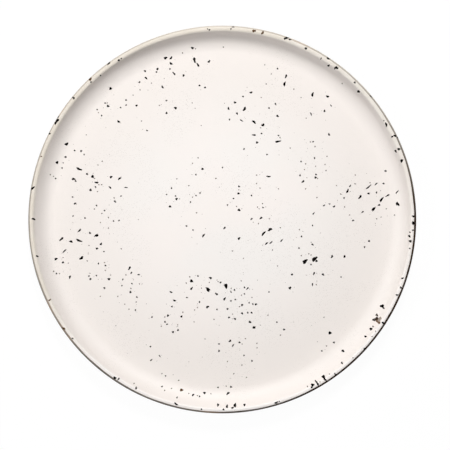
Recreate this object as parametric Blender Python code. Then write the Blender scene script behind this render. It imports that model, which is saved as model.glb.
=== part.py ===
"""Pizza plate: a shallow glazed stoneware plate, turned about +Z.

The plate rests on its foot ring. The origin is the centre of the foot ring's
resting face, and lengths are in metres. Every layer of the plate is a
cross-section of (radius, height) points that is spun once about the axis.
"""
import math

import bmesh
import bpy
from mathutils import Vector

# Driving dimensions of the finished plate, measured over the glaze
PLATE_DIAMETER = 0.320
PLATE_HEIGHT = 0.020
WELL_DEPTH = 0.0122
LIP_THICKNESS = 0.0048
INNER_WALL_LEAN = math.radians(31)
COVE_RADIUS = 0.017
HEEL_RADIUS = 0.014
UNDERSIDE_RADIUS = 0.1425

# Foot ring
FOOT_DIAMETER = 0.222
FOOT_WIDTH = 0.006
FOOT_HEIGHT = 0.0025
FOOT_ROUNDING = 0.0008

# Coats on the clay, and the room that is left under them
GLAZE_THICKNESS = 0.0004
FIT_GAP = 0.0003

# Where each coat ends on the round of the lip, as angles from the outward horizontal
FACE_COAT_END = math.radians(78)
BAND_START = math.radians(68)
BAND_END = math.radians(-12)
BACK_COAT_START = math.radians(-22)

# Fineness of the turned shapes
TURN_STEPS = 72
COVE_STEPS = 6
LIP_STEP = math.radians(12)
FOOT_STEPS = 2
WELD_DISTANCE = 0.000001
SHARP_ANGLE = math.radians(40)

# Colours as linear RGB, and roughness
CLAY_COLOUR = (0.64, 0.54, 0.43)
CLAY_ROUGHNESS = 0.75
GLAZE_COLOUR = (0.88, 0.83, 0.79)
GLAZE_ROUGHNESS = 0.18
BAND_COLOUR = (0.16, 0.11, 0.08)
BAND_ROUGHNESS = 0.30

# Values that follow from the driving dimensions
DOWN = -math.pi / 2
FLOOR_HEIGHT = PLATE_HEIGHT - WELL_DEPTH
CLAY_INSET = GLAZE_THICKNESS + FIT_GAP
LIP_RADIUS = LIP_THICKNESS / 2
LIP_CENTRE = Vector((PLATE_DIAMETER / 2 - LIP_RADIUS, PLATE_HEIGHT - LIP_RADIUS))
HEEL_CENTRE = Vector((UNDERSIDE_RADIUS, FOOT_HEIGHT + HEEL_RADIUS))
FOOT_INNER = FOOT_DIAMETER / 2 - FOOT_WIDTH / 2
FOOT_OUTER = FOOT_DIAMETER / 2 + FOOT_WIDTH / 2


def cove_centre():
    """Centre of the cove whose arc, and the lip's, both touch the straight inner wall."""
    height = FLOOR_HEIGHT + COVE_RADIUS
    across = LIP_RADIUS + COVE_RADIUS - math.sin(INNER_WALL_LEAN) * (height - LIP_CENTRE.y)
    return Vector((LIP_CENTRE.x - across / math.cos(INNER_WALL_LEAN), height))


def outer_wall_angle():
    """Direction that the straight outer wall faces: it touches both the lip and the heel."""
    between = LIP_CENTRE - HEEL_CENTRE
    slope = math.atan2(between.y, between.x)
    return slope - math.acos((HEEL_RADIUS - LIP_RADIUS) / between.length)


COVE_CENTRE = cove_centre()
OUTER_WALL_ANGLE = outer_wall_angle()
INNER_WALL_ANGLE = math.pi - INNER_WALL_LEAN


def arc(centre, radius, start, end, steps):
    """Points along a circular arc from one angle to another."""
    angles = [start + (end - start) * step / steps for step in range(steps + 1)]
    return [(centre.x + radius * math.cos(angle), centre.y + radius * math.sin(angle)) for angle in angles]


def lip_arc(inset, start, end):
    """Points over the round of the lip, this far under its finished surface."""
    steps = max(1, round(abs(end - start) / LIP_STEP))
    return arc(LIP_CENTRE, LIP_RADIUS - inset, start, end, steps)


def face_line(inset, lip_end):
    """The upper surface from the axis over the floor, cove and inner wall to the lip."""
    floor_centre = [(0, FLOOR_HEIGHT - inset)]
    cove = arc(COVE_CENTRE, COVE_RADIUS + inset, DOWN, -INNER_WALL_LEAN, COVE_STEPS)
    return floor_centre + cove + lip_arc(inset, INNER_WALL_ANGLE, lip_end)


def heel_arc(inset):
    """The round of the heel, from the outer wall to the flat underside."""
    return arc(HEEL_CENTRE, HEEL_RADIUS - inset, OUTER_WALL_ANGLE, DOWN, COVE_STEPS)


def back_line(inset):
    """The outer surface from under the lip to the foot ring's root, as a coat follows it."""
    lip = lip_arc(inset, BACK_COAT_START, OUTER_WALL_ANGLE)
    foot_root = (FOOT_OUTER + FOOT_ROUNDING + FIT_GAP, FOOT_HEIGHT + inset)
    return lip + heel_arc(inset) + [foot_root]


def clay_section():
    """The dish under its coats, from the floor's centre round to the underside's."""
    face = face_line(CLAY_INSET, OUTER_WALL_ANGLE)
    return face + heel_arc(CLAY_INSET) + [(0, FOOT_HEIGHT + CLAY_INSET)]


def foot_ring_section():
    """The ring from its flared outer root, under its resting face, to its inner root."""
    root_height = FOOT_HEIGHT + GLAZE_THICKNESS - FOOT_ROUNDING
    outer_root = Vector((FOOT_OUTER + FOOT_ROUNDING, root_height))
    outer_edge = Vector((FOOT_OUTER - FOOT_ROUNDING, FOOT_ROUNDING))
    inner_edge = Vector((FOOT_INNER + FOOT_ROUNDING, FOOT_ROUNDING))
    inner_root = Vector((FOOT_INNER - FOOT_ROUNDING, root_height))
    return (
        arc(outer_root, FOOT_ROUNDING, -DOWN, math.pi, FOOT_STEPS)
        + arc(outer_edge, FOOT_ROUNDING, 0, DOWN, FOOT_STEPS)
        + arc(inner_edge, FOOT_ROUNDING, DOWN, -math.pi, FOOT_STEPS)
        + arc(inner_root, FOOT_ROUNDING, 0, -DOWN, FOOT_STEPS)
    )


def face_glaze_section():
    """The coat over the floor, cove, inner wall and crown of the lip."""
    top = face_line(0, FACE_COAT_END)
    bottom = face_line(GLAZE_THICKNESS, FACE_COAT_END)
    return top + bottom[::-1]


def rim_band_section():
    """The brown coat round the outer shoulder of the lip."""
    outside = lip_arc(0, BAND_START, BAND_END)
    inside = lip_arc(GLAZE_THICKNESS, BAND_START, BAND_END)
    return outside + inside[::-1]


def back_glaze_section():
    """The coat down the outer wall and under the plate, as far as the foot ring's root."""
    outside = back_line(0)
    inside = back_line(GLAZE_THICKNESS)
    return outside + inside[::-1]


def foot_well_section():
    """The round coat under the plate, inside the foot ring."""
    edge = FOOT_INNER - FOOT_ROUNDING - FIT_GAP
    top = FOOT_HEIGHT + GLAZE_THICKNESS
    return [(0, top), (edge, top), (edge, FOOT_HEIGHT), (0, FOOT_HEIGHT)]


def make_material(name, colour, roughness):
    """A plain ceramic surface."""
    material = bpy.data.materials.new(name)
    material.use_nodes = True
    shader = material.node_tree.nodes["Principled BSDF"]
    shader.inputs["Base Color"].default_value = (*colour, 1)
    shader.inputs["Roughness"].default_value = roughness
    shader.inputs["Metallic"].default_value = 0
    return material


def turn(name, section, material, parent):
    """Spin a cross-section once about +Z. A section that leaves the axis is closed on itself."""
    shape = bmesh.new()
    points = [shape.verts.new((radius, 0, height)) for radius, height in section]
    ends = list(zip(points, points[1:]))
    is_ring = section[0][0] > 0
    if is_ring:
        ends.append((points[-1], points[0]))
    edges = [shape.edges.new(pair) for pair in ends]
    bmesh.ops.spin(shape, geom=points + edges, cent=(0, 0, 0), axis=(0, 0, 1),
                   angle=math.tau, steps=TURN_STEPS, use_merge=True)
    bmesh.ops.remove_doubles(shape, verts=shape.verts, dist=WELD_DISTANCE)
    bmesh.ops.recalc_face_normals(shape, faces=shape.faces)
    mesh = bpy.data.meshes.new(name)
    shape.to_mesh(mesh)
    shape.free()
    mesh.shade_smooth()
    mesh.set_sharp_from_angle(angle=SHARP_ANGLE)
    mesh.materials.append(material)
    layer = bpy.data.objects.new(name, mesh)
    layer.parent = parent
    bpy.context.collection.objects.link(layer)


for scene_object in list(bpy.data.objects):
    bpy.data.objects.remove(scene_object)

plate = bpy.data.objects.new("plate", None)
bpy.context.collection.objects.link(plate)

dish_clay = make_material("dish_clay", CLAY_COLOUR, CLAY_ROUGHNESS)
foot_clay = make_material("foot_clay", CLAY_COLOUR, CLAY_ROUGHNESS)
face_coat = make_material("face_coat", GLAZE_COLOUR, GLAZE_ROUGHNESS)
back_coat = make_material("back_coat", GLAZE_COLOUR, GLAZE_ROUGHNESS)
foot_well_coat = make_material("foot_well_coat", GLAZE_COLOUR, GLAZE_ROUGHNESS)
oxide = make_material("oxide", BAND_COLOUR, BAND_ROUGHNESS)

turn("clay_body", clay_section(), dish_clay, plate)
turn("foot_ring", foot_ring_section(), foot_clay, plate)
turn("back_glaze", back_glaze_section(), back_coat, plate)
turn("foot_well_glaze", foot_well_section(), foot_well_coat, plate)
turn("face_glaze", face_glaze_section(), face_coat, plate)
turn("rim_band", rim_band_section(), oxide, plate)
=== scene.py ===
"""Pizza plate in speckled warm white stoneware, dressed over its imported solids.

Lengths are in metres. +Z is up out of the well, and +X is right and +Y is up in the photograph.
"""
import math

import bpy
import numpy as np
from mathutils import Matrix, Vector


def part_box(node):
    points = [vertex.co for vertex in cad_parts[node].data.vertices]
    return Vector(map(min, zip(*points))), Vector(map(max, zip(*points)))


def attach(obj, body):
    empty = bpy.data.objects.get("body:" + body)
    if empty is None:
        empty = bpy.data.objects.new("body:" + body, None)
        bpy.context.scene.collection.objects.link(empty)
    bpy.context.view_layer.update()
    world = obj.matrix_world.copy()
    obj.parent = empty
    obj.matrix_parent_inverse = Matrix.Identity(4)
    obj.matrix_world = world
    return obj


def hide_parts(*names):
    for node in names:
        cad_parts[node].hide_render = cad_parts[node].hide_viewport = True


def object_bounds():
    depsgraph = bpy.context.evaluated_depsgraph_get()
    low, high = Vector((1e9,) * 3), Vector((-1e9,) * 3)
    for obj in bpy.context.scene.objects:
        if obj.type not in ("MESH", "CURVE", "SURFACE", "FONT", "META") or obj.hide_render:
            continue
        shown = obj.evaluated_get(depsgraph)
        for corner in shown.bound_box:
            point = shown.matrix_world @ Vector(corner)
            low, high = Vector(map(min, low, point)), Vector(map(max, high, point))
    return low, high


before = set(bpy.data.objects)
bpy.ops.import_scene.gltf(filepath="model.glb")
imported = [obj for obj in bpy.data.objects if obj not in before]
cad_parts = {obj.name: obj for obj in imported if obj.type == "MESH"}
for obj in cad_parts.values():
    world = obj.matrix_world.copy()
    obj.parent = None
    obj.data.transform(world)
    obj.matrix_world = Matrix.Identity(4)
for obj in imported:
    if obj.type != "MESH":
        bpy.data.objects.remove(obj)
cad_low, cad_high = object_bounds()
bpy.context.scene.view_settings.view_transform = "Standard"

# Camera
# It hangs straight above the plate and looks down into it.
# It stands first because the flecks are laid on the glaze along its sight lines.
photo_pixels = 450
plate_pixels = 388.5
plate_radius = cad_high.x
plate_height = cad_high.z
camera_distance = 1.25
sensor_width = 0.036
frame_middle = (0.0023, -0.0045)

lens_length = sensor_width * plate_pixels / photo_pixels * camera_distance / (2 * plate_radius)
eye = np.array([*frame_middle, plate_height + camera_distance])

camera_data = bpy.data.cameras.new("camera")
camera_data.sensor_width = sensor_width * 1000
camera_data.lens = lens_length * 1000
camera = bpy.data.objects.new("camera", camera_data)
camera.location = eye
bpy.context.collection.objects.link(camera)
bpy.context.scene.camera = camera


def sight_lines(pixel_x, pixel_y):
    """Directions through pixels: each pixel's place across and up the sensor, and the lens length down."""
    pixel_width = sensor_width / photo_pixels
    across = (pixel_x - photo_pixels / 2) * pixel_width
    up = (photo_pixels / 2 - pixel_y) * pixel_width
    return np.column_stack([across, up, np.full(len(across), -lens_length)])


# Clay dish
# The plate under its coats: one piece of buff stoneware, turned on the wheel and fired.
# Glaze covers it all over, so it shows only where a coat is thin.
floor_height = 0.0078
underside_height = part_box("foot_well_glaze")[0][2]
coat_thickness = 0.0004
coat_bite = 0.00005
lip_radius = 0.0024
lip_shoulder = 0.0018
lip_crown = 0.0005
wall_lean = 28
cove_radius = 0.017
heel_radius = 0.014
underside_radius = 0.1425
floor_steps = 20
cove_steps = 16
shoulder_steps = 12
lip_steps = 28
under_lip_steps = 8
heel_steps = 16
sharp_angle = 40

lip_centre = np.array([plate_radius - lip_radius, plate_height - lip_radius])
shoulder_centre = np.array([lip_centre[0] - lip_crown, plate_height - lip_shoulder])
heel_centre = np.array([underside_radius, underside_height + heel_radius])
lean = math.radians(wall_lean)
cove_height = floor_height + cove_radius
cove_drop = math.sin(lean) * (cove_height - shoulder_centre[1])
cove_reach = (lip_shoulder + cove_radius - cove_drop) / math.cos(lean)
cove_centre = np.array([shoulder_centre[0] - cove_reach, cove_height])
heel_to_lip = lip_centre - heel_centre
wall_slope = math.atan2(heel_to_lip[1], heel_to_lip[0])
wall_turn = math.acos((heel_radius - lip_radius) / np.hypot(*heel_to_lip))
outer_wall_angle = math.degrees(wall_slope - wall_turn)


def arc(centre, radius, start, end, steps):
    """Points at even angles on a circle, from one angle to another in degrees."""
    angle = np.radians(np.linspace(start, end, steps + 1))
    return centre + radius * np.column_stack([np.cos(angle), np.sin(angle)])


def face_line(inset, lip_end):
    """Floor, cove, inner wall and lip, this far under the finished face: straights and arcs that touch."""
    floor_radii = np.linspace(0, cove_centre[0], floor_steps, endpoint=False)
    floor = np.column_stack([floor_radii, np.full(floor_steps, floor_height - inset)])
    cove = arc(cove_centre, cove_radius + inset, -90, -wall_lean, cove_steps)
    shoulder = arc(shoulder_centre, lip_shoulder - inset, 180 - wall_lean, 90, shoulder_steps)
    lip = arc(lip_centre, lip_radius - inset, 90, lip_end, lip_steps)
    return np.concatenate([floor, cove, shoulder, lip])


def back_line(inset, lip_start, foot_end):
    """Under side of the lip, outer wall and heel, then straight in to a radius by the foot ring."""
    lip = arc(lip_centre, lip_radius - inset, lip_start, outer_wall_angle, under_lip_steps)
    heel = arc(heel_centre, heel_radius - inset, outer_wall_angle, -90, heel_steps)
    return np.concatenate([lip, heel, [[foot_end, underside_height + inset]]])


oval = 0.0006
oval_phase = 1.2
three_sided = 0.0004
three_sided_phase = 0.9
lip_warp = 0.0002
warp_phase = 1.1
lip_ripple = 0.00008
warp_start = 0.125
heavy_turn = math.radians(60)
heavy_lip = 0.0007
heavy_radius = 0.1545
heavy_reach = 0.0022


def hand_turned(points):
    """Plate points moved as turning and firing leave them.

    The radius swells in a wave of two and a wave of three round the plate, and the lip's inner shoulder
    comes in by a bump across it, on one side, as the square of a cosine. Outside the foot the height
    rises in waves of two and five, which grow with the square of the way out to the lip.
    """
    x, y, z = np.moveaxis(points, -1, 0)
    turn = np.arctan2(y, x)
    radius = np.hypot(x, y)
    way_out = np.clip((radius - warp_start) / (plate_radius - warp_start), 0, 1)
    on_shoulder = np.exp(-((radius - heavy_radius) / heavy_reach) ** 2)
    drawn_in = heavy_lip * on_shoulder * np.clip(np.cos(turn - heavy_turn), 0, 1) ** 2
    swell = 1 + oval * np.cos(2 * turn - oval_phase)
    swell = swell + three_sided * np.cos(3 * turn + three_sided_phase)
    swell = swell - drawn_in / plate_radius
    rise = lip_warp * np.cos(2 * turn + warp_phase) + lip_ripple * np.cos(5 * turn)
    return np.stack([x * swell, y * swell, z + rise * way_out ** 2], axis=-1)


def made_piece(name, vertices, faces, material):
    """A smooth mesh piece of the plate with one material."""
    mesh = bpy.data.meshes.new(name)
    mesh.from_pydata(vertices.tolist(), [], faces)
    mesh.shade_smooth()
    mesh.set_sharp_from_angle(angle=math.radians(sharp_angle))
    mesh.materials.append(material)
    piece = bpy.data.objects.new(name, mesh)
    bpy.context.collection.objects.link(piece)
    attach(piece, "root")
    return piece


turn_steps = 240
turns = np.linspace(0, 2 * np.pi, turn_steps, endpoint=False)


def turned(name, section, material):
    """A section of (radius, height) points turned once round +Z, or one section for each step of the turn.

    Point j at step i stands at angle 2 pi i / steps. A section that starts on the axis is closed there by
    a fan of triangles at both its ends, and any other section is closed on itself.
    """
    count = section.shape[-2]
    radius, height = np.moveaxis(np.broadcast_to(section, (turn_steps, count, 2)), -1, 0)
    across, along = np.cos(turns)[:, None], np.sin(turns)[:, None]
    points = hand_turned(np.stack([radius * across, radius * along, height], axis=-1))
    if radius[0, 0] > 0:
        index = np.arange(turn_steps * count).reshape(turn_steps, count)
        index = np.column_stack([index, index[:, 0]])
        vertices = points.reshape(-1, 3)
    else:
        rings = points[:, 1:-1].reshape(-1, 3)
        index = np.arange(len(rings)).reshape(turn_steps, count - 2)
        index = np.pad(index, ((0, 0), (1, 1)), constant_values=((0, 0), (len(rings), len(rings) + 1)))
        vertices = np.vstack([rings, points[0, 0], points[0, -1]])
    beside = np.roll(index, -1, axis=0)
    quads = np.stack([index[:, :-1], index[:, 1:], beside[:, 1:], beside[:, :-1]], axis=-1)
    fans = []
    if radius[0, 0] == 0:
        fans = quads[:, 0, :3].tolist() + quads[:, -1, [0, 1, 3]].tolist()
        quads = quads[:, 1:-1]
    return made_piece(name, vertices, quads.reshape(-1, 4).tolist() + fans, material)


class Wire:
    """A socket of a material's nodes. Operators add Math nodes, and node() adds any other."""

    def __init__(self, tree, socket=None):
        self.tree = tree
        self.socket = socket

    def feed(self, entry, value):
        """Link a wire into a socket, or set the socket's own value."""
        if isinstance(value, Wire):
            self.tree.links.new(value.socket, entry)
        else:
            entry.default_value = value

    def node(self, kind, settings, sockets, output=0):
        """Add a node: its settings first, then the values or links of its sockets."""
        node = self.tree.nodes.new(kind)
        for name, value in settings.items():
            setattr(node, name, value)
        for name, value in sockets.items():
            self.feed(node.inputs[name], value)
        return Wire(self.tree, node.outputs[output])

    def maths(self, operation, first, second):
        """A Math node on two values."""
        return self.node("ShaderNodeMath", {"operation": operation}, {0: first, 1: second})

    def __add__(self, other):
        return self.maths("ADD", self, other)

    def __sub__(self, other):
        return self.maths("SUBTRACT", self, other)

    def __rsub__(self, other):
        return self.maths("SUBTRACT", other, self)

    def __mul__(self, other):
        return self.maths("MULTIPLY", self, other)

    __radd__ = __add__
    __rmul__ = __mul__

    def rise(self, low, high):
        """0 up to low, 1 from high on, and a smooth rise between them."""
        sockets = {"Value": self, "From Min": low, "From Max": high}
        return self.node("ShaderNodeMapRange", {"interpolation_type": "SMOOTHSTEP"}, sockets)

    def blend(self, colour, other):
        """From one colour to another as this value goes from 0 to 1."""
        return self.node("ShaderNodeMix", {"data_type": "RGBA"}, {0: self, 6: colour, 7: other}, output=2)


def finish(name):
    """A new material: a wire to build its nodes from, the place on the plate, and the shader's sockets."""
    material = bpy.data.materials.new(name)
    material.use_nodes = True
    start = Wire(material.node_tree)
    place = start.node("ShaderNodeTexCoord", {}, {}, output=3)
    return material, place, material.node_tree.nodes["Principled BSDF"].inputs


def grain(place, scale, detail):
    """Cloudy noise from 0 to 1 with this many blotches to the metre."""
    return place.node("ShaderNodeTexNoise", {}, {"Vector": place, "Scale": scale, "Detail": detail})


def relief(place, height, depth):
    """A surface normal tilted by a height field this many metres deep."""
    return place.node("ShaderNodeBump", {}, {"Height": height, "Strength": 1, "Distance": depth})


buff = (0.62, 0.50, 0.37, 1)
toasted = (0.47, 0.29, 0.16, 1)
grog = (0.20, 0.13, 0.08, 1)
grog_share = 0.7

bare_clay, place, sockets = finish("bare_clay")
cloud = grain(place, scale=90, detail=3)
sand = grain(place, scale=2400, detail=2)
speck = grain(place, scale=1300, detail=1).rise(low=0.68, high=0.74)
colour = cloud.rise(low=0.35, high=0.75).blend(buff, toasted)
place.feed(sockets["Base Color"], (speck * grog_share).blend(colour, grog))
place.feed(sockets["Roughness"], 0.72 + 0.2 * sand)
place.feed(sockets["Normal"], relief(place, sand + 0.5 * cloud, depth=0.00012))

dish_face = face_line(coat_thickness, outer_wall_angle)
dish_back = arc(heel_centre, heel_radius - coat_thickness, outer_wall_angle, -90, heel_steps)
dish_middle = [[0, underside_height + coat_thickness]]
clay_dish = turned("clay_dish", np.concatenate([dish_face, dish_back, dish_middle]), bare_clay)
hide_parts("clay_body")

# Foot ring
# The ring of bare clay that the plate stands on, put on while the clay is soft and fired with it.
# It is wiped clean of glaze so that it doesn't stick to the kiln shelf, and its corners are rubbed round.
foot_rounding = 0.0008
foot_width = 0.006
corner_steps = 6
foot_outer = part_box("foot_ring")[1][0] - foot_rounding
foot_inner = foot_outer - foot_width
foot_root = underside_height + coat_thickness


def corner(radius, height, start, end):
    """A quarter round about a point, by which the foot ring's line turns a corner."""
    return arc(np.array([radius, height]), foot_rounding, start, end, corner_steps)


foot_section = np.concatenate([
    corner(foot_outer + foot_rounding, foot_root - foot_rounding, 90, 180),
    corner(foot_outer - foot_rounding, foot_rounding, 0, -90),
    corner(foot_inner + foot_rounding, foot_rounding, -90, -180),
    corner(foot_inner - foot_rounding, foot_root - foot_rounding, 0, 90),
])
foot_ring = turned("bare_foot_ring", foot_section, bare_clay)
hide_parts("foot_ring")

# Back coat
# The warm white glaze on the outer wall and under the plate, as far as the foot ring.
# It is poured on, and stops by the foot in a rounded edge where the sponge has wiped it off.
coat_seam = -20
wipe_gap = 0.0009
wiped_edge = foot_outer + foot_rounding + wipe_gap
edge_waver = 0.0003
edge_steps = 6

warm_white = (0.90, 0.845, 0.81, 1)
cool_white = (0.88, 0.845, 0.815, 1)
# Glaze colour out toward the rim, darker as painted shade of the light falling off there.
shaded_outer_white = (0.842, 0.787, 0.747, 1)
falloff_start_radius = 0.04
falloff_full_radius = 0.14
thin_cream = (0.735, 0.672, 0.585, 1)
mist_grey = (0.42, 0.38, 0.34, 1)
mist_share = 0.55
mist_cells = 900
lip_begins = 0.1548
lip_ends = 0.1562
thin_turns = [0, 30, 60, 80, 160, 200, 230, 330]
thin_shares = [0.3, 0.6, 0.7, 1.0, 1.0, 0.9, 0.0, 0.0]

speckled_glaze, place, sockets = finish("speckled_glaze")
cloud = grain(place, scale=14, detail=2)
plan = place.node("ShaderNodeVectorMath", {"operation": "MULTIPLY"}, {0: place, 1: (1, 1, 0)})
radius = place.node("ShaderNodeVectorMath", {"operation": "LENGTH"}, {0: plan}, output=1)
poured = cloud.rise(low=0.35, high=0.65).blend(warm_white, cool_white)
# Painted shade: the glaze darkens from the middle of the floor out to the cove and wall, where the light
# falls off toward the rim, and the lip keeps the poured colour.
painted_falloff = radius.rise(falloff_start_radius, falloff_full_radius) - radius.rise(lip_begins, lip_ends)
falloff_shaded = painted_falloff.blend(poured, shaded_outer_white)
thin = place.node("ShaderNodeAttribute", {"attribute_name": "thin"}, {}, output=2)
patchy = 0.6 + 0.8 * grain(place, scale=60, detail=2)
coloured = (thin * patchy).blend(falloff_shaded, thin_cream)
cells = place.node("ShaderNodeTexVoronoi", {}, {"Vector": place, "Scale": mist_cells})
drift = grain(place, scale=30, detail=3).rise(low=0.45, high=0.62)
mist = (1 - cells.rise(low=0.10, high=0.26)) * drift
place.feed(sockets["Base Color"], (mist_share * mist).blend(coloured, mist_grey))
place.feed(sockets["Specular IOR Level"], 0.35)
place.feed(sockets["Roughness"], 0.42 + 0.12 * grain(place, scale=120, detail=2))
place.feed(sockets["Normal"], relief(place, grain(place, scale=170, detail=2), depth=0.00006))


def thin_on_the_lip(piece):
    """Mark how thin a coat is at each of its points: only on the lip, and most on one side of the plate."""
    points = np.empty(3 * len(piece.data.vertices))
    piece.data.vertices.foreach_get("co", points)
    x, y, _ = points.reshape(-1, 3).T
    on_lip = np.clip((np.hypot(x, y) - lip_begins) / (lip_ends - lip_begins), 0, 1)
    share = np.interp(np.degrees(np.arctan2(y, x)), thin_turns, thin_shares, period=360)
    piece.data.attributes.new("thin", "FLOAT", "POINT").data.foreach_set("value", on_lip * share)


def wavering(seed, waves):
    """A line round the plate that wanders between about -1 and 1: a sum of cosines of seeded phase."""
    phase = np.random.default_rng(seed).uniform(0, 2 * np.pi, len(waves))
    return np.cos(np.outer(turns, waves) + phase).mean(axis=1) * math.sqrt(len(waves))


wandering_edge = wiped_edge + edge_waver * wavering(seed=3, waves=[3, 5, 8, 13, 21])
back_outside = back_line(0, coat_seam, wiped_edge)
back_inside = back_line(coat_thickness + coat_bite, coat_seam, wiped_edge)
edge_middle = np.array([wiped_edge, underside_height + coat_thickness / 2])
back_edge = arc(edge_middle, coat_thickness / 2, -90, -270, edge_steps)[1:-1]
back_section = np.concatenate([back_outside, back_edge, back_inside[::-1]])
back_sections = np.repeat(back_section[None], turn_steps, axis=0)
at_the_edge = np.abs(back_section[:, 0] - wiped_edge) < coat_thickness
back_sections[:, at_the_edge, 0] += (wandering_edge - wiped_edge)[:, None]
back_coat = turned("back_coat", back_sections, speckled_glaze)
thin_on_the_lip(back_coat)
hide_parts("back_glaze")

# Foot well coat
# The round of the same glaze inside the foot ring, poured in and swirled out to the ring.
# Its edge is wiped as the back coat's is.
well_points = 16
well_edge = foot_inner - foot_rounding - wipe_gap
well_radii = np.linspace(0, well_edge, well_points)
well_top = underside_height + coat_thickness + coat_bite
well_under = np.column_stack([well_radii, np.full(well_points, underside_height)])
well_over = np.column_stack([well_radii, np.full(well_points, well_top)])
well_middle = np.array([well_edge, underside_height + coat_thickness / 2])
well_round = arc(well_middle, coat_thickness / 2, 90, -90, edge_steps)[1:-1]
well_section = np.concatenate([well_over, well_round, well_under[::-1]])
foot_well_coat = turned("foot_well_coat", well_section, speckled_glaze)
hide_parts("foot_well_glaze")

# Face coat
# The same glaze over the floor, the cove, the inner wall and the lip, dipped and fired to a soft gloss.
# It runs off the lip in the kiln, so the clay warms its colour there.
face_outside = face_line(0, coat_seam)
face_inside = face_line(coat_thickness + coat_bite, coat_seam)
face_section = np.concatenate([face_outside, face_inside[::-1]])
face_coat = turned("face_coat", face_section, speckled_glaze)
thin_on_the_lip(face_coat)
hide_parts("face_glaze")

# Rim line
# A line of brown iron oxide round the outer shoulder of the lip, put on with a loaded brush.
# It is dark and full at the right and front, partly as painted shade where the shoulder turns away from the
# window lamps, and thins to a beige trace at the back and left, which face them.
line_turns = [0, 15, 30, 45, 65, 90, 140, 160, 180, 210, 230, 265, 300, 335]
line_oxide_and_shade_strengths = [1.0, 0.86, 0.63, 0.42, 0.4, 0.18, 0.29, 0.34, 0.46, 0.54, 0.74, 0.72, 1.0, 1.0]
line_inner = [86, 81, 78, 77, 73, 67, 67, 68, 71, 83, 83, 74, 79, 83]
line_washes = [0, 0.3, 0.6, 0.75, 0.7, 0.3, 0, 0, 0, 0, 0, 0, 0, 0]
line_outer = -12
rust_turns = np.array([266.5, 218, 214, 207, 146, 133, 80, 66])
rust_widths = np.array([2.6, 0.8, 1.5, 2.0, 2.2, 1.2, 0.8, 3.5])
rust_share = 0.6
line_proud = 0.00003
line_sunk = 0.00004
line_depth = 0.00015
line_steps = 12
line_square = 8
brush_waver = 3
wash_start = 0.25
wash_reach = 0.2

iron_brown = (0.050, 0.030, 0.020, 1)
rust = (0.36, 0.17, 0.06, 1)

oxide, place, sockets = finish("oxide")
oxide_and_shade_strength = place.node("ShaderNodeAttribute", {"attribute_name": "oxide_and_shade_strength"}, {}, output=2)
blotch = grain(place, scale=260, detail=3)
rusted = place.node("ShaderNodeAttribute", {"attribute_name": "rusted"}, {}, output=2)
stained = rusted.blend(iron_brown, rust)
# How dark the line is carries painted shade on the side turned from the lamps as well as the oxide.
cover = oxide_and_shade_strength * (0.9 + 0.3 * blotch)
place.feed(sockets["Base Color"], cover.blend(thin_cream, stained))
place.feed(sockets["Specular IOR Level"], 0.02)
place.feed(sockets["Roughness"], 0.5 + 0.2 * blotch)
place.feed(sockets["Normal"], relief(place, blotch, depth=0.00005))


def round_the_rim(values):
    """Values given at the line's turns, carried smoothly round to every step."""
    return np.interp(np.degrees(turns), line_turns, values, period=360)


brushed_inner = round_the_rim(line_inner) + brush_waver * wavering(seed=5, waves=[7, 11, 19, 31, 47])
brushed_outer = line_outer + brush_waver * wavering(seed=6, waves=[6, 13, 17, 29, 43])
share = np.linspace(0, 1, line_steps + 1)
line_angle = np.radians(brushed_inner[:, None] * (1 - share) + brushed_outer[:, None] * share)
line_height = line_proud - (line_proud + line_sunk) * (2 * share - 1) ** line_square
line_round = np.stack([np.cos(line_angle), np.sin(line_angle)], axis=-1)
line_outside = lip_centre + (lip_radius + line_height)[:, None] * line_round
line_inside = lip_centre + (lip_radius - line_depth) * line_round[:, ::-1]
line_section = np.concatenate([line_outside, line_inside], axis=1)
rim_line = turned("rim_line", line_section, oxide)
washed = round_the_rim(line_washes)[:, None] * np.clip((share - wash_start) / wash_reach, 0, 1)
# The line's strength round the rim holds painted shade as well as oxide, and is full where the shoulder turns
# from the lamps.
line_oxide_and_shade = round_the_rim(line_oxide_and_shade_strengths)[:, None] * (1 - washed)
from_rust = np.degrees(turns)[:, None] - rust_turns
line_rust = rust_share * np.exp(-(from_rust / rust_widths) ** 2).sum(axis=1)
line_rust = np.tile(line_rust[:, None], line_steps + 1)
for name, values in (("oxide_and_shade_strength", line_oxide_and_shade), ("rusted", line_rust)):
    data = rim_line.data.attributes.new(name, "FLOAT", "POINT").data
    data.foreach_set("value", np.hstack([values, values[:, ::-1]]).ravel())
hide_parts("rim_band")

# Iron flecks
# Grains of iron in the glaze that melt out as near-black shards, dots and short streaks.
# They lie in loose drifts over the floor, up the wall and across the lip, with finer ones round them.
millimetre = 0.001

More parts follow.
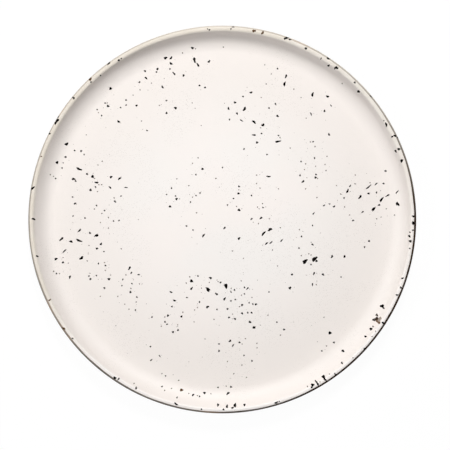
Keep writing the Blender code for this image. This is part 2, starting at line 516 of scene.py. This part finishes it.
# Shards and streaks: pixel across and down, length and width in millimetres, heading in degrees
shards = {
    "upper left": [
        (192.5, 48, 2.0, 1.5, 0), (165.5, 58, 2.3, 1.8, 10), (171, 58, 2.4, 1.2, 45),
        (171, 63.5, 2.7, 1.2, -40), (194.5, 60, 3.9, 1.8, -80), (198, 65, 2.8, 1.3, -60),
        (209, 61.5, 2.1, 1.3, 50), (157.5, 69, 2.1, 1.1, 60), (145, 71, 1.4, 1.3, 0),
        (146, 78, 2.2, 1.1, -40), (174, 73.5, 2.8, 1.0, -50), (183.5, 75.5, 2.0, 1.1, 80),
        (136.5, 105.5, 1.4, 1.3, 0), (175.5, 108, 2.0, 1.6, 0), (166.5, 113, 1.4, 1.3, 0),
        (199.5, 85.5, 1.2, 1.1, 0), (205, 87.5, 1.4, 1.0, -20), (162.5, 87, 2.4, 1.0, -65),
        (110.5, 88.5, 2.2, 1.6, 15), (108, 106, 2.2, 1.3, -25), (118.5, 121.5, 2.2, 1.3, -45),
    ],
    "upper middle": [
        (284.5, 84, 3.3, 1.5, 85), (251, 92.5, 2.2, 1.1, 5), (235, 102.5, 1.8, 1.3, 10),
        (228.5, 108.5, 1.9, 1.2, -75), (237, 113.5, 1.9, 1.0, -55), (244.5, 109, 3.3, 1.6, 50),
        (254, 122, 3.2, 1.5, -35), (263, 125, 2.2, 1.8, 20), (286, 76.3, 3.2, 1.0, 75),
        (257, 142.5, 1.8, 1.3, 30), (278, 141.5, 4.0, 1.3, 15), (277.5, 116, 1.8, 1.4, -20),
        (275.5, 104, 2.0, 0.7, -70), (241.5, 120.5, 2.4, 0.7, -35), (254, 135, 3.0, 0.9, 0),
    ],
    "upper right": [
        (312.5, 94.5, 3.5, 1.3, 70), (327.5, 96.5, 2.1, 1.5, -30), (331, 105.5, 1.6, 0.5, -60),
        (311, 114, 2.4, 0.7, -70), (329, 134.5, 1.8, 1.2, -60), (324.5, 111, 1.8, 1.1, 70),
        (314.5, 158, 1.4, 0.8, -60), (303, 181.5, 2.2, 1.2, 45), (315.5, 177.5, 1.7, 1.3, 0),
        (313.5, 213.5, 2.0, 0.7, 45), (324, 205.5, 2.0, 0.6, 40), (334, 206.5, 1.9, 0.9, 40),
    ],
    "right": [
        (347.5, 191, 3.0, 1.3, 65), (360, 197, 3.6, 1.2, 48), (368.5, 187, 5.1, 0.8, 43),
        (368.5, 193.5, 1.4, 1.3, 0), (376, 184, 2.4, 0.8, 42), (383.5, 183.5, 1.2, 1.1, 0),
        (376.5, 192.5, 1.4, 0.9, 70), (381.5, 199.5, 4.6, 1.3, 48), (387.5, 195.5, 3.5, 0.8, 35),
        (379, 205, 1.9, 1.0, 30), (373.5, 209, 4.2, 1.5, 50), (397.5, 204, 3.0, 2.1, -60),
        (397, 192, 2.9, 0.7, 50), (353, 220.5, 1.4, 1.0, 20), (385.5, 171, 1.4, 1.3, 0),
        (350, 186, 2.3, 0.6, 50), (362.5, 212, 1.9, 0.8, 40),
    ],
    "left": [
        (66.5, 144, 3.0, 1.6, 35), (81, 151, 1.4, 1.3, 0), (57, 162.5, 2.1, 1.7, 0),
        (79, 169, 4.4, 1.4, -20), (87, 174, 1.4, 1.3, 0), (92.5, 176.5, 2.2, 1.9, 30),
        (96.5, 182.5, 2.6, 1.3, 0), (111, 177, 1.8, 1.5, 30), (119.5, 178.5, 2.8, 1.1, 45),
        (73.5, 179, 2.5, 1.6, -15), (75.5, 181, 1.1, 1.1, 0), (90.5, 190, 1.9, 1.4, -55),
        (115, 201.5, 1.9, 1.0, -55), (110, 187.5, 2.6, 0.8, -50), (126, 187.5, 2.4, 0.6, 0),
        (121, 196, 1.3, 0.6, 35), (65.5, 157, 1.7, 1.2, 25), (75, 203.5, 2.1, 0.9, 25),
    ],
    "lower left": [
        (79.5, 230.5, 3.0, 1.1, 45), (90, 233, 1.4, 1.3, 0), (96.5, 235.5, 3.4, 1.6, 30),
        (61.5, 239, 4.6, 1.0, 42), (71, 241.5, 2.4, 1.5, 0), (79, 240.5, 4.6, 1.4, -25),
        (64.5, 251, 3.6, 0.8, 45), (101, 244, 1.9, 1.3, 40), (97, 248.5, 1.5, 1.4, 0),
        (56, 259, 2.4, 1.3, 40), (63, 262.5, 1.4, 1.3, 0), (81.5, 258, 3.4, 1.7, 30),
        (70, 277, 2.4, 1.2, 60), (90.5, 279, 1.4, 1.3, 0), (109, 279, 2.2, 1.3, -10),
        (104.5, 288, 1.2, 1.2, 0), (130.5, 292, 1.5, 1.4, 0), (129.6, 268.1, 2.8, 1.2, 65),
        (131.4, 272.8, 1.8, 0.8, 45), (138.7, 274.6, 2.0, 0.6, 5), (151.2, 360, 1.9, 0.7, 45),
        (159.7, 356, 1.9, 0.5, -50),
    ],
    "lower middle": [
        (191.5, 281, 2.3, 2.1, 0), (191.5, 288.5, 2.4, 1.2, 60), (210.5, 278, 2.0, 1.4, -10),
        (220.5, 282.5, 1.2, 1.2, 0), (208, 289.5, 4.0, 2.2, -40), (226, 286, 3.4, 2.5, -75),
        (216.5, 294, 2.2, 1.3, -40), (224.5, 299, 2.3, 1.3, 55), (207.5, 307, 2.2, 1.5, 25),
        (234.5, 290, 1.1, 1.1, 0), (227.5, 309, 1.2, 1.2, 0), (174.5, 300.5, 2.0, 1.2, -20),
        (168, 315.5, 1.5, 1.4, 0), (181.5, 316.5, 1.4, 1.4, 0), (178, 330, 1.2, 1.2, 0),
        (173, 332, 1.6, 1.1, -40), (229, 317.5, 1.2, 1.2, 0), (235, 319, 1.6, 1.2, -30),
        (171, 292, 2.2, 0.9, -35), (199.5, 302, 1.5, 0.8, 70), (250, 322.1, 2.4, 1.2, -32),
        (254, 327.6, 2.2, 1.7, 20), (255.9, 304.4, 1.6, 1.3, 20), (242.1, 305.1, 1.5, 1.3, 0),
        (242.1, 313.4, 1.5, 1.2, -40), (251.6, 312.8, 1.3, 1.1, 0), (284.1, 329.6, 1.3, 1.2, 20),
    ],
    "centre": [
        (176.5, 199, 1.6, 1.6, 0), (170, 206.5, 1.8, 1.4, -50), (203.5, 235.5, 3.5, 0.9, 55),
        (224.5, 228, 2.5, 0.8, 45), (202.5, 169, 1.5, 1.5, 0), (239, 186.5, 1.4, 1.0, -50),
        (238.5, 193.5, 2.1, 1.1, 0), (239, 210, 2.0, 1.6, 0), (261, 218, 2.1, 1.2, 45),
        (251.5, 219, 2.2, 0.7, 45), (268.5, 176.5, 3.3, 0.9, 0), (239, 238.5, 2.2, 1.3, 40),
        (263.5, 233.5, 4.0, 1.4, 50), (270, 229.5, 3.1, 2.0, 20), (266.5, 243.5, 3.1, 0.8, 45),
        (271, 242.5, 3.0, 0.7, 45), (281.5, 240.5, 3.1, 0.6, 48), (312.5, 244.5, 1.7, 1.0, -40),
    ],
    "right of centre": [
        (305, 261.5, 4.4, 2.4, 55), (314.5, 259, 4.9, 2.4, 50), (316.5, 261, 1.9, 1.2, 20),
        (332, 256.5, 2.2, 1.2, 60), (344.5, 256.5, 2.2, 1.2, 85), (314, 273.5, 2.1, 1.0, 65),
        (323, 274.5, 1.9, 1.2, -50), (292, 274.5, 1.3, 1.3, 0), (290, 288, 1.9, 1.8, 0),
        (312.5, 284.5, 2.1, 0.8, 90), (247.5, 288.5, 2.5, 0.7, 50), (369, 241, 1.5, 1.1, 0),
    ],
    "lower right": [
        (330, 333, 2.5, 1.9, 30), (334, 342.5, 1.2, 1.2, 0), (343, 351, 2.1, 1.5, 0), (342, 363, 1.3, 1.2, 0),
        (371, 329, 2.2, 1.4, 40), (365.5, 336.5, 1.4, 1.3, 0), (382, 306, 2.8, 2.0, 0),
        (383.5, 308, 1.8, 0.8, -50),
    ],
    "bottom": [
        (230, 341, 1.8, 1.4, 40), (239.5, 342.5, 1.2, 1.2, 0), (233, 345.5, 2.4, 0.7, 50),
        (219, 351, 1.2, 1.2, 0), (204.5, 393, 1.8, 1.4, -40), (231, 387, 1.3, 1.3, 0),
        (228, 393.5, 2.6, 1.3, 40), (218, 405, 1.5, 1.5, 0), (227, 406.5, 2.3, 1.2, 70),
        (235, 405.5, 2.7, 1.8, 70), (232.5, 408, 2.3, 0.8, 10), (244.5, 405, 1.4, 1.4, 0),
        (193, 395, 1.8, 1.1, 55),
    ],
    "lip, left": [
        (207.6, 28.9, 1.0, 0.5, -45), (209.4, 29.7, 1.3, 0.7, 50), (121.2, 58.4, 1.2, 0.6, 30),
        (118.7, 60.1, 1.6, 1.3, 0), (108.7, 63.3, 3.4, 1.1, 50), (100.3, 75.3, 0.9, 0.6, 40),
        (91, 82, 1.2, 0.9, 0), (89.7, 78.4, 1.7, 1.3, 60), (73.3, 97.8, 2.2, 1.5, -45),
        (57.1, 120.2, 3.2, 2.2, 60),
        (55.4, 122.8, 2.4, 1.6, 50), (58.2, 116.9, 1.8, 0.9, 60), (49.5, 133.6, 1.5, 1.2, 30),
        (32.6, 188.2, 3.4, 1.5, 42), (33.3, 219, 2.6, 1.3, -10), (37.2, 256.2, 2.0, 0.9, -50),
        (72.8, 338.3, 1.2, 0.9, 0), (114.9, 377.8, 2.2, 1.9, 0), (118.6, 378.9, 1.9, 1.1, 60),
        (136.1, 388.1, 1.8, 1.2, 70), (176, 404, 3.1, 1.2, -35), (201.5, 409.3, 1.1, 0.8, 0),
    ],
    "lip, right": [
        (231, 28.8, 0.9, 0.6, 45), (233, 27, 2.2, 0.6, 5), (286.3, 38, 4.0, 1.8, 20),
        (290, 39.6, 2.0, 0.8, -15), (306, 48.2, 1.7, 1.4, 0), (321.3, 58.1, 1.2, 0.6, 60),
        (328.2, 58.4, 3.0, 1.2, -28), (329, 65, 1.3, 1.1, 0), (336.5, 67.5, 3.1, 1.6, -20),
        (354.9, 82.3, 1.6, 0.9, -40), (359, 91, 1.8, 1.6, 0), (371, 96.4, 2.6, 0.6, -48),
        (384, 120.5, 0.7, 0.5, 0), (386.5, 124.5, 3.5, 1.0, -75), (392.5, 136.5, 1.2, 1.0, 0),
        (395, 135.8, 2.4, 1.2, -25), (397.5, 137.5, 1.2, 1.0, 0), (399, 149, 2.1, 1.5, -40),
        (396, 151, 2.4, 0.8, -65), (402, 160.7, 2.7, 1.4, 75), (413.2, 216.3, 1.8, 1.4, 0),
        (413.3, 223.1, 3.0, 1.9, -70), (412.8, 230.1, 1.2, 0.9, 0), (410, 232.2, 0.9, 0.7, 0),
        (409.5, 236.2, 1.8, 1.2, -60), (410.3, 241.2, 2.2, 1.5, -70), (409.7, 248.4, 1.0, 0.8, 0),
        (402.5, 278.2, 1.6, 1.0, 45), (400.9, 287.6, 1.9, 1.1, -40), (396.9, 295, 1.7, 1.2, 0),
        (383.3, 323.2, 2.6, 1.5, -40), (364.8, 348.8, 1.7, 1.3, 0), (335.3, 374.3, 2.2, 1.1, -50),
        (323.5, 376.6, 2.2, 1.8, 40), (325, 379.4, 4.4, 1.6, -50), (317.4, 383.5, 4.2, 1.5, -56),
        (312.8, 385.1, 2.4, 2.0, 20), (311.9, 387.2, 2.2, 1.0, 60), (279.2, 401.6, 1.1, 0.6, 60),
        (276.3, 402.8, 2.6, 1.4, 35), (223.5, 409.6, 1.6, 1.1, 0),
    ],
    "rusty": [
        (90.1, 79, 2.7, 2.2, 60), (41.2, 156.4, 1.0, 0.7, 0), (49.9, 299.9, 2.0, 1.0, 45),
        (63.9, 328.5, 3.0, 1.3, -40), (181.5, 390, 2.2, 2.0, 0), (254, 30.8, 2.6, 1.6, 10),
        (262.6, 32.6, 2.6, 1.4, 40),
    ],
}

# Dots: pixel across and down
dots = {
    "upper left": [
        (139.5, 82), (105, 103), (97, 109.5), (101.5, 115.5), (126, 100), (120.5, 107.5), (147, 130.5),
        (126, 105), (156.5, 72), (170, 69), (277.5, 68.7), (313.1, 141.7), (166.2, 100.6),
    ],
    "upper middle": [
        (243, 96.5), (229.5, 119.5), (261.5, 133.5), (244, 149), (267, 154.5), (278.5, 135.5),
        (269, 108),
    ],
    "right": [
        (301, 161.5), (300, 175.5), (316, 174.5), (329.5, 204), (344, 198), (311, 264.5), (341, 277),
        (364.5, 247), (301.5, 236.5), (299, 248), (312.5, 225.5),
    ],
    "left": [
        (74.5, 150.5), (84, 154.5), (62, 168), (95.5, 187), (55.5, 178.5), (72.5, 197), (73, 216),
        (85, 218), (96.5, 205.5), (104.5, 210.5), (113.5, 221), (119, 220.5), (104, 251.5),
        (56.5, 273.5), (89, 276), (122.9, 279.4), (96.5, 275.5), (105.5, 265.5), (98.5, 263.5),
        (122, 285.5), (132, 283.5), (137, 297), (135.5, 310), (152, 317),
    ],
    "centre": [
        (166.5, 194.5), (175.5, 196), (200, 193), (196, 195.5), (190.5, 202), (186.5, 226), (193, 230),
        (222.5, 167.5), (233.5, 198.5), (227.5, 205), (251.5, 195.5), (263, 207.5), (195.9, 174.6),
        (171.5, 188.1),
    ],
    "bottom": [
        (198, 276), (231, 301), (231, 292), (217, 309.5), (172, 306.5), (244.5, 287.5), (244.5, 294),
        (269, 292), (373, 326.5), (219, 344), (244, 355.5), (252, 361), (165, 321.8),
        (167.1, 324.2), (186.9, 297.5), (235.4, 299.6), (249.1, 302.8), (252.9, 304.1), (247.8, 312.8),
        (276.9, 322.2), (321.9, 351), (165.6, 375.9), (150.5, 346.5), (162, 386.5), (177, 397.5),
        (199.5, 396.5), (218, 387.5),
    ],
}
# Greys, which the glaze half drowns: pixel across and down
greys = {
    "upper left": [
        (195.6, 48.7), (223.4, 47.1), (140, 89.7), (133, 95.1), (192.2, 102.9), (159.4, 105.3),
        (141.5, 121), (151.5, 83.1), (107.1, 102.9), (98.4, 112.6), (182.5, 52.9), (86.2, 134.8),
    ],
    "upper right": [
        (264.8, 64.8), (266.2, 84), (293.8, 89.1), (261.2, 97.5), (260.6, 127.8), (290.2, 148.1),
        (306.2, 118.1), (271.2, 74), (342.2, 83.5), (315, 146.6), (310.4, 141.9), (326.9, 156.3),
        (325, 164.5), (305.6, 163.8), (315.6, 166.3), (280, 137.5),
    ],
    "right": [
        (278.4, 188.8), (305.6, 188.8), (317.5, 178.4), (340.6, 194), (355, 183.8), (370, 182.8),
        (386.2, 208.8), (381, 217.1), (376.6, 218.8), (394.4, 215.1), (316.9, 197.5), (355.2, 175),
        (344.6, 206.9), (304.5, 169.5), (326, 170.5), (336.5, 185.5), (349.5, 215),
    ],
    "left": [
        (102.2, 161.2), (97.9, 165), (114, 197.8), (94.4, 209), (101.9, 213.4), (108.4, 217.5),
        (100.4, 222.5), (97.5, 191.6), (50.2, 174.6), (53.4, 176.3), (63.1, 162.8), (94.4, 178.5),
        (98.8, 184.6), (101.6, 184.6), (89, 245.4), (87.3, 260.9), (63.1, 257.5), (104.6, 262.5),
        (105.4, 270.3), (53.8, 271.3), (59.6, 273.5), (121.3, 248.8), (108.5, 228.1), (131, 288.4),
        (100.4, 296.3), (117.9, 296.3), (124.8, 304.1), (129.1, 309.1), (136.3, 301.9), (139.5, 283.8),
        (126, 274.8), (110.6, 275), (68.4, 263.1),
    ],
    "centre": [
        (198.1, 157.8), (192.5, 163.3), (176.8, 178.8), (215.9, 178.4), (196.5, 212.8), (236.5, 206.5),
        (238.8, 189.8), (256.6, 175.1), (256.6, 183.5), (262.5, 203.6), (257.5, 207.1), (269.4, 218.7),
        (280.3, 227.7), (272.5, 250), (243.4, 258.4), (277.5, 266), (232.5, 251), (299.4, 229.6),
        (192.5, 197.1), (188.8, 185.6), (260, 188.1), (258.5, 223.5),
    ],
    "bottom": [
        (186.3, 283), (218.1, 281.7), (189.8, 276.8), (201.5, 288.1), (209.3, 282.4), (231.2, 288.4),
        (241.2, 280.9), (241.5, 295.2), (239.5, 306.7), (194.6, 310), (197.4, 307.6), (182.8, 312.2),
        (164.8, 316.9), (161.3, 326.2), (177.7, 324.7), (194.1, 321.9), (214, 319.4), (232.6, 314.2),
        (267.9, 315.4), (324, 317.4), (316.3, 284.6), (301.3, 255.6), (308.8, 253.8), (311, 255),
        (242.1, 344.1), (245.4, 338.7), (256.9, 343.4), (257.1, 347.9), (227.5, 361.5), (241.9, 365.2),
        (233.8, 373.8), (246.5, 377.5), (326.6, 346), (161.9, 373.6), (178.7, 380.4), (171.6, 388.4),
        (164.7, 390.4), (188.8, 393.5), (197.5, 395.6), (210.9, 393.8), (226.2, 386.2), (134.1, 383.4),
        (307.5, 386.6), (320, 382.1), (329.6, 374.1), (353.1, 357.9), (372.1, 336.5), (375.6, 331.3),
        (252, 297.5), (280.4, 335.3), (205, 339),
    ],
}

# A burst blister low on the right wall, stained brown: a shard's five values, then its ink and its rust
blister = [
    (376.8, 315, 1.7, 1.6, 0, 0.85, 0.03),
    (374.3, 319.6, 2.8, 1.8, 20, 0.85, 0),
    (376.6, 318.8, 2.6, 2.2, 40, 0.96, 0.06),
    (377.3, 321, 2.2, 1.8, -35, 0.75, 0.35),
    (378.9, 322.6, 2.4, 1.5, -20, 0.8, 0.35),
    (380, 318.3, 2.0, 1.7, 0, 0.1, 0.2),
    (378.8, 320.5, 2.0, 1.8, 0, 0, 0.1),
]
# Millimetres by which iron bleeds out round a shard, then the sizes of the other flecks
bleed = 0.36
dot_sizes = (1.15, 1.5)
grey_sizes = (0.9, 1.2)
finer_size = 0.45
stray_size = 0.4
finer_variety = 0.35
stray_count = 90
# Pixels by which finer flecks scatter round the drawn ones
finer_spread = 6
dot_inks = (0.95, 1)
grey_inks = (0.4, 0.65)
finer_inks = (0.3, 0.7)
rusty_fade = 0.04
rusty_share = 0.25
fleck_steps = 10
wider = 1.15
narrower = 0.85
inner = 0.45
narrower_lift = 0.75
inner_lift = 0.95
ragged_waves = ((2, 0.12), (3, 0.2), (5, 0.12))
fleck_crown = 0.00008
crown_limits = (0.4, 1.6)
fleck_sunk = 0.00003
fleck_root = 0.00015
rim_margin = 0.0003
outermost = plate_radius - rim_margin
sight_rounds = 12

ink_black = (0.003, 0.002, 0.002, 1)
drowned_grey = (0.36, 0.31, 0.27, 1)

iron, place, sockets = finish("iron")
ink = place.node("ShaderNodeAttribute", {"attribute_name": "ink"}, {}, output=2)
rusted = place.node("ShaderNodeAttribute", {"attribute_name": "rusted"}, {}, output=2)
burnt = grain(place, scale=500, detail=2)
dark = rusted.blend(ink_black, rust)
place.feed(sockets["Base Color"], ink.blend(drowned_grey, dark))
place.feed(sockets["Specular IOR Level"], 0.02)
place.feed(sockets["Roughness"], 0.45 + 0.25 * burnt)
place.feed(sockets["Normal"], relief(place, burnt, depth=0.00004))

finished_face = face_line(0, 0)


def glaze_height(radius):
    """Height of the finished face at a radius, read along its line of floor, cove, wall and lip."""
    return np.interp(radius, finished_face[:, 0], finished_face[:, 1])


def sighted(pixel_x, pixel_y):
    """Plan places under pixels: each sight line is cut at the height the glaze has where it lands."""
    lines = sight_lines(pixel_x, pixel_y)
    height = np.full(len(lines), floor_height)
    for _ in range(sight_rounds):
        landed = eye + ((height - eye[2]) / lines[:, 2])[:, None] * lines
        height = glaze_height(np.hypot(landed[:, 0], landed[:, 1]))
    return landed[:, 0], landed[:, 1]


def on_face(x, y, lift):
    """Points over plan places on the face: at the glaze's height, then out along its normal by a lift."""
    probe = 0.00002
    radius = np.clip(np.hypot(x, y), probe, outermost)
    slope = (glaze_height(radius + probe) - glaze_height(radius - probe)) / (2 * probe)
    upright = 1 / np.hypot(slope, 1)
    reach = (radius - slope * upright * lift) / np.maximum(np.hypot(x, y), probe)
    return hand_turned(np.stack([x * reach, y * reach, glaze_height(radius) + upright * lift], axis=-1))


def fleck_mesh(placed, across, up, length, width, heading, rng):
    """Closed drops with ragged outlines, as vertices and faces.

    The outline is an ellipse whose radius is multiplied by waves of two, three and five round it. A ring a
    little wider than the outline lies just under the glaze and a narrower one is raised above it, so that
    the outline is where the drop leaves the glaze. An inner ring carries a long drop over the round of the
    lip, and points close the top and the root.
    """
    count = len(across)
    angle = np.linspace(0, 2 * np.pi, fleck_steps, endpoint=False)
    ragged = np.ones((count, fleck_steps))
    for waves, depth in ragged_waves:
        ragged += depth * np.cos(waves * angle + rng.uniform(0, 2 * np.pi, (count, 1)))
    along = ragged * np.cos(angle) * length[:, None] / 2
    beside = ragged * np.sin(angle) * width[:, None] / 2
    turn = np.radians(heading)[:, None]
    ring_x = along * np.cos(turn) - beside * np.sin(turn)
    ring_y = along * np.sin(turn) + beside * np.cos(turn)
    crown = fleck_crown * np.clip(width / millimetre, *crown_limits)[:, None]
    middle = np.zeros((count, 1))
    plan_x = across[:, None] + np.hstack([wider * ring_x, narrower * ring_x, inner * ring_x, middle, middle])
    plan_y = up[:, None] + np.hstack([wider * ring_y, narrower * ring_y, inner * ring_y, middle, middle])
    rim = np.full((count, fleck_steps), -fleck_sunk)
    raised = np.repeat(crown, fleck_steps, axis=1)
    lift = np.hstack([rim, narrower_lift * raised, inner_lift * raised, crown, middle - fleck_root])
    vertices = placed(plan_x, plan_y, lift)
    step = np.arange(fleck_steps)
    ahead = np.roll(step, -1)
    skirt = np.column_stack([step, ahead, fleck_steps + ahead, fleck_steps + step])
    sides = np.vstack([skirt, skirt + fleck_steps])
    point = np.full(fleck_steps, 3 * fleck_steps)
    top = np.column_stack([2 * fleck_steps + step, 2 * fleck_steps + ahead, point])
    root = np.column_stack([ahead, step, point + 1])
    first = (np.arange(count) * vertices.shape[1])[:, None, None]
    faces = (sides + first).reshape(-1, 4).tolist()
    faces += (top + first).reshape(-1, 3).tolist()
    faces += (root + first).reshape(-1, 3).tolist()
    return vertices.reshape(-1, 3), faces


def fleck_piece(name, placed, across, up, sizes, heading, ink, rusted, rng):
    """Iron flecks at these places as one piece, which carries how dark and how rusty each of them is."""
    vertices, faces = fleck_mesh(placed, across, up, *(sizes.T * millimetre), heading, rng)
    piece = made_piece(name, vertices, faces, iron)
    each = len(vertices) // len(across)
    for attribute, values in (("ink", ink), ("rusted", rusted)):
        data = piece.data.attributes.new(attribute, "FLOAT", "POINT").data
        data.foreach_set("value", np.repeat(values, each))


rng = np.random.default_rng(11)
shard = np.array([fleck for drift in shards.values() for fleck in drift])
shard_rust = np.concatenate([np.full(len(drift), float(name == "rusty")) for name, drift in shards.items()])
dot = np.array([fleck for drift in dots.values() for fleck in drift])
grey = np.array([fleck for drift in greys.values() for fleck in drift])
burst = np.array(blister)
finer = np.vstack([shard[:, :2], dot, grey])
finer += rng.normal(0, finer_spread, finer.shape)
stray_radius = plate_radius * np.sqrt(rng.uniform(0, 1, stray_count))
stray_turn = rng.uniform(0, 2 * np.pi, stray_count)

seen_x, seen_y = sighted(*np.vstack([shard[:, :2], burst[:, :2], dot, grey, finer]).T)
fleck_x = np.concatenate([seen_x, stray_radius * np.cos(stray_turn)])
fleck_y = np.concatenate([seen_y, stray_radius * np.sin(stray_turn)])
fleck_sizes = np.vstack([
    shard[:, 2:4] + bleed,
    burst[:, 2:4] + bleed,
    rng.uniform(*dot_sizes, dot.shape),
    rng.uniform(*grey_sizes, grey.shape),
    finer_size * rng.lognormal(0, finer_variety, finer.shape),
    stray_size * rng.lognormal(0, finer_variety, (stray_count, 2)),
])
drawn = len(shard) + len(burst)
fleck_heading = np.concatenate([shard[:, 4], burst[:, 4], rng.uniform(0, 180, len(fleck_x) - drawn)])
fleck_ink = np.concatenate([
    1 - rusty_fade * shard_rust,
    burst[:, 5],
    rng.uniform(*dot_inks, len(dot)),
    rng.uniform(*grey_inks, len(grey)),
    rng.uniform(*finer_inks, len(finer)),
    rng.uniform(*finer_inks, stray_count),
])
fleck_rust = np.concatenate([rusty_share * shard_rust, burst[:, 6], np.zeros(len(fleck_x) - drawn)])
reach = np.where(np.arange(len(fleck_x)) < drawn + len(dot) + len(grey), plate_radius, cove_centre[0])
kept = np.hypot(fleck_x, fleck_y) < reach
fleck_piece("iron_flecks", on_face, fleck_x[kept], fleck_y[kept], fleck_sizes[kept], fleck_heading[kept],
            fleck_ink[kept], fleck_rust[kept], rng)

# Back flecks
# The same iron grains in the glaze of the outer wall and under the plate, finer and fewer than on the face.
# None lie on the foot ring or on the bare clay beside it.
back_count = 260
back_size = 0.7
back_variety = 0.45
back_inks = (0.4, 1)
lip_margin = 0.001
bare_middle = 0.03
back_turn_radius = 0.15
bare_inside = 0.003
bare_outside = 0.004
bare_inner = foot_inner - bare_inside
bare_outer = foot_outer + bare_outside

finished_back = np.concatenate([back_line(0, 0, bare_outer), [[0, underside_height]]])
back_distance = np.concatenate([[0], np.hypot(*np.diff(finished_back, axis=0).T).cumsum()])


def on_back(around, along, lift):
    """Points on the back: turned by a length round the plate, a way along its line, then out by a lift."""
    probe = 0.00005
    ahead = np.stack([np.interp(along + probe, back_distance, line) for line in finished_back.T])
    behind = np.stack([np.interp(along - probe, back_distance, line) for line in finished_back.T])
    tangent = (ahead - behind) / np.hypot(*(ahead - behind))
    radius, height = (ahead + behind) / 2 + lift * np.stack([-tangent[1], tangent[0]])
    turn = -around / back_turn_radius
    return hand_turned(np.stack([radius * np.cos(turn), radius * np.sin(turn), height], axis=-1))


back_along = rng.uniform(lip_margin, back_distance[-1] - bare_middle, back_count)
back_radius = np.interp(back_along, back_distance, finished_back[:, 0])
glazed = (back_radius > bare_outer) | (back_radius < bare_inner)
glazed &= rng.uniform(0, 1, back_count) < back_radius / plate_radius
back_along = back_along[glazed]
back_around = rng.uniform(0, 2 * np.pi, len(back_along)) * back_turn_radius
back_sizes = back_size * rng.lognormal(0, back_variety, (len(back_along), 2))
back_heading = rng.uniform(0, 180, len(back_along))
back_ink = rng.uniform(*back_inks, len(back_along))
fleck_piece("back_flecks", on_back, back_around, back_along, back_sizes, back_heading, back_ink,
            np.zeros(len(back_along)), rng)

# Table
# A plain white table top, seen as pure white behind the plate and keeping a trace of the plate's shadow.
# It isn't part of the plate.
table_size = 6
table_white = (0.9, 0.9, 0.9, 1)
shadow_share = 0.045
glow_strength = 1.01

table_mesh = bpy.data.meshes.new("table")
corners = np.array([[-1, -1, 0], [1, -1, 0], [1, 1, 0], [-1, 1, 0]]) * table_size / 2
table_mesh.from_pydata(corners.tolist(), [], [[0, 1, 2, 3]])
table_top = bpy.data.materials.new("table_top")
table_top.use_nodes = True
table_nodes = table_top.node_tree.nodes
start = Wire(table_top.node_tree)


def seen_directly(start):
    """1 for what the camera sees by itself, in a reflection or through glass, and 0 for light."""
    camera_ray = start.node("ShaderNodeLightPath", {}, {}, output="Is Camera Ray")
    glossy_ray = start.node("ShaderNodeLightPath", {}, {}, output="Is Glossy Ray")
    clear_ray = start.node("ShaderNodeLightPath", {}, {}, output="Is Transmission Ray")
    return start.maths("MAXIMUM", start.maths("MAXIMUM", camera_ray, glossy_ray), clear_ray)


paint = start.node("ShaderNodeBsdfDiffuse", {}, {"Color": table_white})
glow = start.node("ShaderNodeEmission", {}, {"Color": (1, 1, 1, 1), "Strength": glow_strength})
shown = seen_directly(start) * (1 - shadow_share)
mixed = start.node("ShaderNodeMixShader", {}, {0: shown, 1: paint, 2: glow})
start.feed(table_nodes["Material Output"].inputs["Surface"], mixed)
table_mesh.materials.append(table_top)
table = bpy.data.objects.new("table", table_mesh)
bpy.context.collection.objects.link(table)

# Light
# A soft window beyond the top of the plate, a weaker one at its left and a faint lamp overhead.
# The sky looks white and gives only a little light, so that the wall keeps its shade.
sky_strength = 0.07


def soft_lamp(name, turn, elevation, distance, size, power):
    """A square lamp that faces the plate from a turn and an elevation in degrees."""
    around = math.radians(turn)
    above = math.radians(elevation)
    lamp_data = bpy.data.lights.new(name, "AREA")
    lamp_data.shape = "SQUARE"
    lamp_data.size = size
    lamp_data.energy = power
    lamp = bpy.data.objects.new(name, lamp_data)
    reach = distance * math.cos(above)
    lamp.location = (reach * math.cos(around), reach * math.sin(around), distance * math.sin(above))
    lamp.rotation_euler = (math.pi / 2 - above, 0, around + math.pi / 2)
    bpy.context.collection.objects.link(lamp)


soft_lamp("window", turn=84, elevation=50.5, distance=1.9, size=0.35, power=25.6)
soft_lamp("side_window", turn=178, elevation=48, distance=1.9, size=0.5, power=12)
soft_lamp("overhead", turn=118, elevation=86, distance=0.5, size=0.3, power=0.4)

world = bpy.data.worlds.new("sky")
world.use_nodes = True
bpy.context.scene.world = world
start = Wire(world.node_tree)
brightness = sky_strength + (1 - sky_strength) * seen_directly(start)
sky = world.node_tree.nodes["Background"].inputs
start.feed(sky["Color"], (1, 1, 1, 1))
start.feed(sky["Strength"], brightness)
